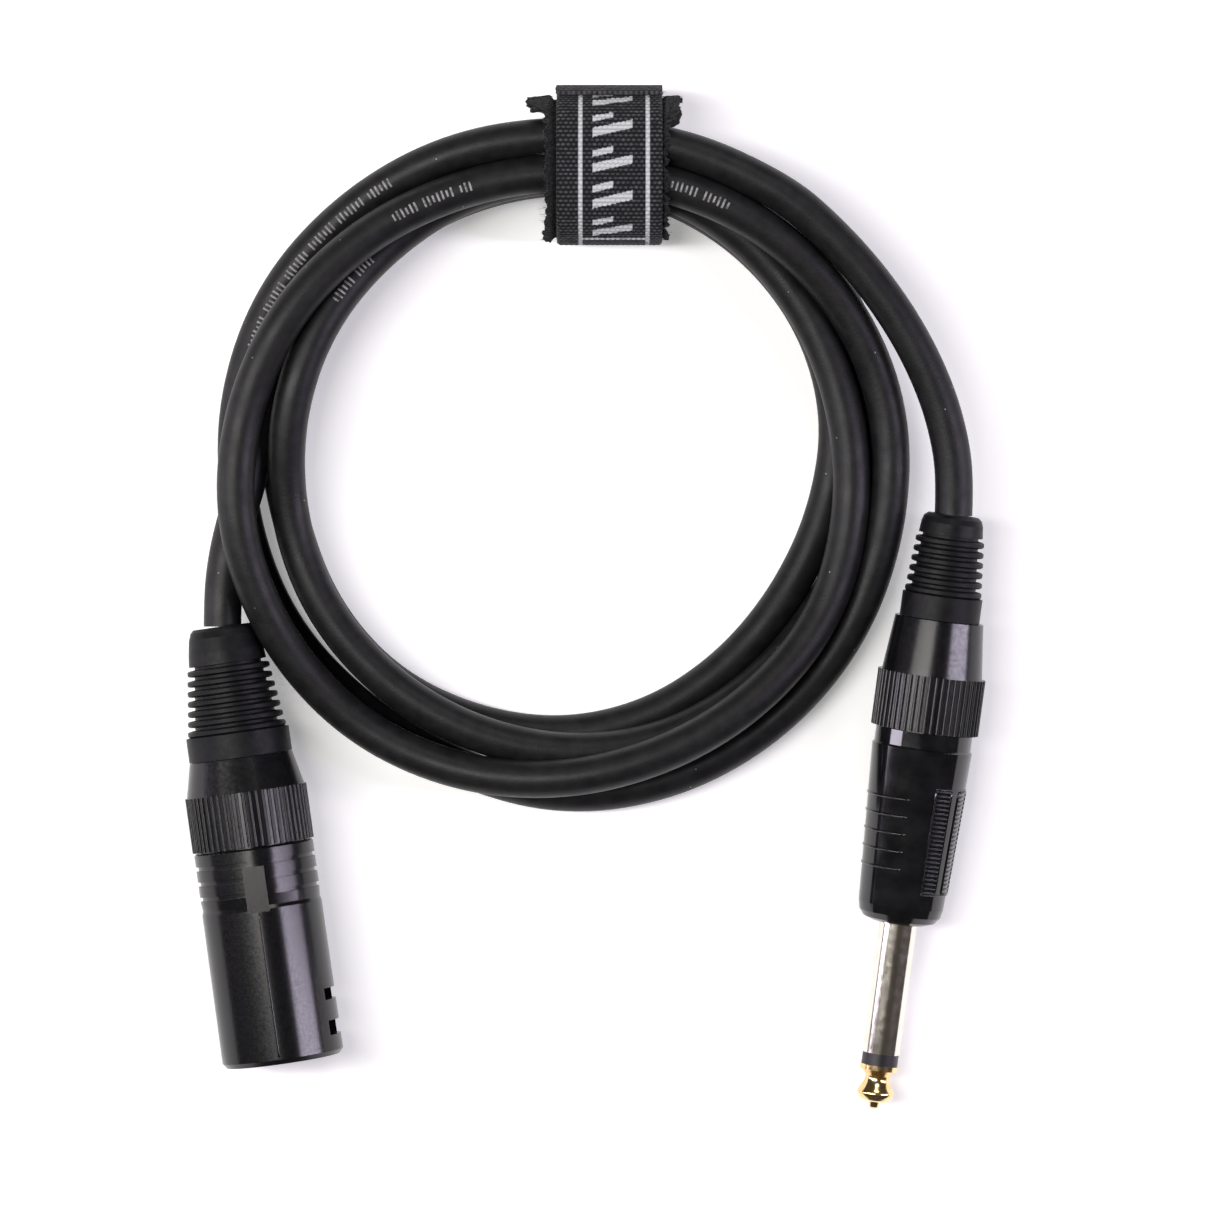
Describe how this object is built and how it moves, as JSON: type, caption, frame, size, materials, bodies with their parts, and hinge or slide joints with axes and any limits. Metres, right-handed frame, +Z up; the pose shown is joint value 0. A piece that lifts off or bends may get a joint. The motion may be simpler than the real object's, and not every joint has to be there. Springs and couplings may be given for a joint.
{
  "type": "microphone cable",
  "caption": "Short black microphone cable, coiled and tied with a hook-and-loop strap, from a male XLR plug to a quarter-inch mono jack plug.",
  "frame": {"origin": "on the surface that the cable lies on, under the middle of the box that the two plugs and the strap fill", "axes": "+Y from the plugs' tips towards the strap, the longest way; +Z up from the surface, the shortest way; +X from the XLR plug towards the jack plug"},
  "size_m": [0.1317, 0.1687, 0.0215],
  "materials": {
    "boot_rubber": "matt moulded rubber",
    "grip_plastic": "glossy black moulding",
    "chuck_plastic": "natural white moulding",
    "shell_paint": "satin black, fine orange peel",
    "insert_plastic": "black moulding",
    "contact_plating": "gold plated brass",
    "core_screen": "bare twisted copper",
    "core_red": "coloured core insulation",
    "core_white": "coloured core insulation",
    "spring_metal": "plated sheet",
    "barrel_plastic": "glossy black moulding",
    "sleeve_plating": "polished nickel",
    "rod_brass": "turned brass",
    "tip_gold": "polished gold plating",
    "strap_pile": "fuzzy black loop pile",
    "strap_webbing": "woven black webbing with white printed bars",
    "cable_jacket": "matt black flexible jacket"
  },
  "bodies": {
    "cable": {"xlr_chuck": "chuck_plastic", "xlr_insert": "insert_plastic", "xlr_pin_1": "contact_plating", "xlr_pin_2": "contact_plating", "xlr_pin_3": "contact_plating", "xlr_core_1": "core_screen", "xlr_core_2": "core_red", "xlr_core_3": "core_white", "xlr_earth_spring": "spring_metal", "xlr_jacket_end": "cable_jacket", "jack_chuck": "chuck_plastic", "jack_sleeve": "sleeve_plating", "jack_collar": "sleeve_plating", "jack_insulating_tube": "insert_plastic", "jack_insulating_ring": "insert_plastic", "jack_centre_rod": "rod_brass", "jack_tip": "tip_gold", "jack_tip_lug": "spring_metal", "jack_earth_clamp": "spring_metal", "jack_core": "core_red", "jack_drain": "core_screen", "jack_jacket_end": "cable_jacket", "strap_loop": "strap_pile", "strap_band": "strap_webbing", "cable_coil": "cable_jacket", "cable_tail_xlr": "cable_jacket", "cable_tail_jack": "cable_jacket"},
    "xlr_grip": {"xlr_nut": "grip_plastic", "xlr_boot": "boot_rubber"},
    "xlr_housing": {"xlr_shell": "shell_paint"},
    "jack_grip": {"jack_nut": "grip_plastic", "jack_boot": "boot_rubber"},
    "jack_housing": {"jack_barrel": "barrel_plastic"},
    "strap_end": {"strap_flap": "strap_webbing"}
  },
  "joints": [
    {"name": "xlr_nut_turn", "type": "hinge", "parent": "cable", "child": "xlr_grip", "pos_m": [-0.0599, -0.0046, 0.01005], "axis": [-0.1392, 0.9903, 0], "range_deg": [0, 720]},
    {"name": "xlr_shell_slide", "type": "slide", "parent": "cable", "child": "xlr_housing", "axis": [0.1392, -0.9903, 0], "range_m": [0, 0.006]},
    {"name": "jack_nut_turn", "type": "hinge", "parent": "cable", "child": "jack_grip", "pos_m": [0.0602, 0.0137, 0.01115], "axis": [0.1303, 0.9895, 0.0628], "range_deg": [0, 720]},
    {"name": "jack_barrel_slide", "type": "slide", "parent": "cable", "child": "jack_housing", "axis": [-0.1303, -0.9895, -0.0628], "range_m": [0, 0.006]},
    {"name": "strap_peel", "type": "hinge", "parent": "cable", "child": "strap_end", "pos_m": [0.0037, 0.08355, 0.0146], "axis": [1, 0, 0], "range_deg": [0, 120]}
  ],
  "couplings": [
    {"joint": "xlr_nut_turn", "follows": "xlr_shell_slide", "rad_per_m": 2094.4},
    {"joint": "jack_nut_turn", "follows": "jack_barrel_slide", "rad_per_m": 2094.4}
  ]
}
